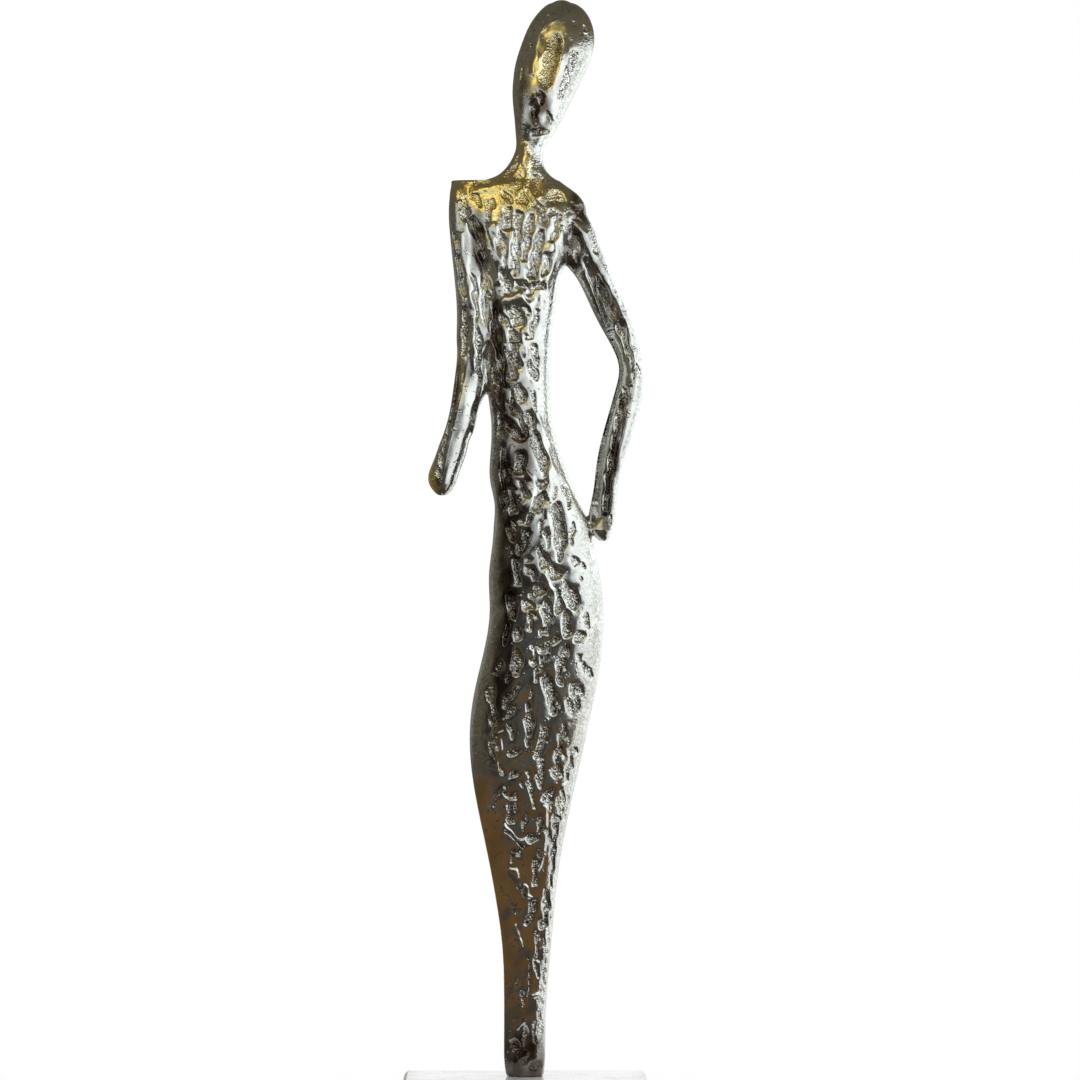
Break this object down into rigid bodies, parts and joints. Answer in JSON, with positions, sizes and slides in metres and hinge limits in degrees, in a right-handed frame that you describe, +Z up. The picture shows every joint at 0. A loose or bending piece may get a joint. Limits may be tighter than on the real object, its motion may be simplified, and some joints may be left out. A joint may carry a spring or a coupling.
{
  "type": "abstract full body display mannequin",
  "caption": "Slender faceless standing woman with one hanging arm and one bent arm touching the hip, cast in metal and bolted upright to a rectangular stone base on rubber feet.",
  "frame": {"origin": "on the surface the rubber feet stand on, under the axis of the stud that holds the figure", "axes": "+Z up; -Y is the figure's front; +X is towards the bent arm, the figure's left"},
  "size_m": [0.136, 0.09, 0.628],
  "materials": {
    "cast_metal": "polished ridges over rough sand-cast hollows, nickel-bright",
    "stone": "polished",
    "zinc_steel": "zinc plated",
    "fibre": "matt fibre",
    "rubber": "matt"
  },
  "bodies": {
    "root": {"figure_casting": "cast_metal", "base_block": "stone", "fixing_stud": "zinc_steel", "locating_pin": "zinc_steel", "stone_gasket": "fibre", "plain_washer": "zinc_steel", "spring_washer": "zinc_steel", "hex_nut": "zinc_steel", "rubber_foot_front_left": "rubber", "rubber_foot_front_right": "rubber", "rubber_foot_back_left": "rubber", "rubber_foot_back_right": "rubber"}
  },
  "joints": []
}
